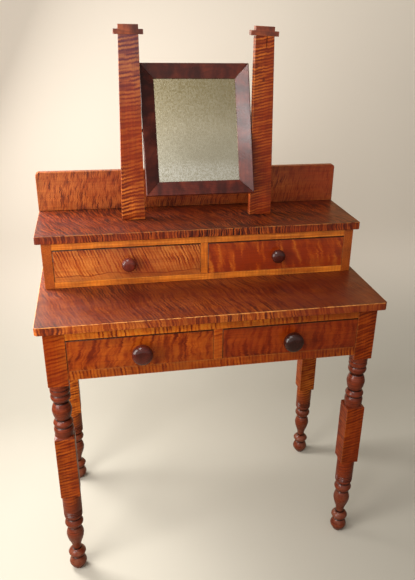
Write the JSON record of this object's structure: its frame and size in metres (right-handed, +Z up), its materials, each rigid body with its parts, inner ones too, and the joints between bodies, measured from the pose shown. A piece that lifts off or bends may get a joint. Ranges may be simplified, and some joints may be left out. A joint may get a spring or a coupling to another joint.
{
  "type": "dressing table",
  "caption": "Two-tier tiger maple dressing table on turned legs, with drawers in both tiers and a framed mirror that tilts between two tapering posts.",
  "frame": {"origin": "floor level under the middle of the whole table's box", "axes": "+Z up, -Y towards the sitter and the drawers' pull, +X to the sitter's right"},
  "size_m": [0.8636, 0.4742, 1.4123],
  "materials": {
    "tiger_maple": "reddish amber tiger maple under glossy shellac",
    "plain_maple": "lighter orange maple with little figure, shellac",
    "cap_wood": "plain reddish wood, shellac",
    "knob_wood": "dark reddish brown turned wood, polished",
    "mahogany": "dark red mahogany, polished",
    "pine": "unfinished secondary wood, darkened by age",
    "looking_glass": "old silvered glass, mottled and clouded",
    "iron": "dark wrought pins"
  },
  "bodies": {
    "table": {"lower_top": "tiger_maple", "leg_front_left": "tiger_maple", "leg_front_right": "tiger_maple", "leg_rear_left": "tiger_maple", "leg_rear_right": "tiger_maple", "lower_top_rail": "tiger_maple", "lower_bottom_rail": "tiger_maple", "lower_divider": "tiger_maple", "side_apron_left": "tiger_maple", "side_apron_right": "tiger_maple", "back_apron": "tiger_maple", "runner_left": "pine", "runner_right": "pine", "runner_centre": "pine", "case_side_left": "plain_maple", "case_side_right": "plain_maple", "case_top_rail": "plain_maple", "case_bottom_rail": "plain_maple", "case_divider": "plain_maple", "case_bottom": "pine", "case_back": "pine", "case_guide": "pine", "upper_top": "tiger_maple", "backsplash": "tiger_maple", "post_left": "tiger_maple", "post_right": "tiger_maple", "post_cap_left": "cap_wood", "post_cap_right": "cap_wood"},
    "lower_left_drawer": {"lower_left_drawer_front": "tiger_maple", "lower_left_drawer_side_left": "pine", "lower_left_drawer_side_right": "pine", "lower_left_drawer_back": "pine", "lower_left_drawer_bottom": "pine", "lower_left_drawer_knob": "knob_wood"},
    "lower_right_drawer": {"lower_right_drawer_front": "tiger_maple", "lower_right_drawer_side_left": "pine", "lower_right_drawer_side_right": "pine", "lower_right_drawer_back": "pine", "lower_right_drawer_bottom": "pine", "lower_right_drawer_knob": "knob_wood"},
    "upper_left_drawer": {"upper_left_drawer_front": "tiger_maple", "upper_left_drawer_side_left": "pine", "upper_left_drawer_side_right": "pine", "upper_left_drawer_back": "pine", "upper_left_drawer_bottom": "pine", "upper_left_drawer_knob": "knob_wood"},
    "upper_right_drawer": {"upper_right_drawer_front": "tiger_maple", "upper_right_drawer_side_left": "pine", "upper_right_drawer_side_right": "pine", "upper_right_drawer_back": "pine", "upper_right_drawer_bottom": "pine", "upper_right_drawer_knob": "knob_wood"},
    "mirror": {"mirror_rail_top": "mahogany", "mirror_rail_bottom": "mahogany", "mirror_stile_left": "mahogany", "mirror_stile_right": "mahogany", "mirror_glass": "looking_glass", "mirror_backboard": "pine", "mirror_pin_left": "iron", "mirror_pin_right": "iron"}
  },
  "joints": [
    {"name": "lower_left_drawer_slide", "type": "slide", "parent": "table", "child": "lower_left_drawer", "axis": [0, -1, 0], "range_m": [0, 0.28]},
    {"name": "lower_right_drawer_slide", "type": "slide", "parent": "table", "child": "lower_right_drawer", "axis": [0, -1, 0], "range_m": [0, 0.28]},
    {"name": "upper_left_drawer_slide", "type": "slide", "parent": "table", "child": "upper_left_drawer", "axis": [0, -1, 0], "range_m": [0, 0.15]},
    {"name": "upper_right_drawer_slide", "type": "slide", "parent": "table", "child": "upper_right_drawer", "axis": [0, -1, 0], "range_m": [0, 0.15]},
    {"name": "mirror_tilt", "type": "hinge", "parent": "table", "child": "mirror", "pos_m": [0, 0.1149, 1.1617], "axis": [-1, 0, 0], "range_deg": [-49, 40]}
  ]
}
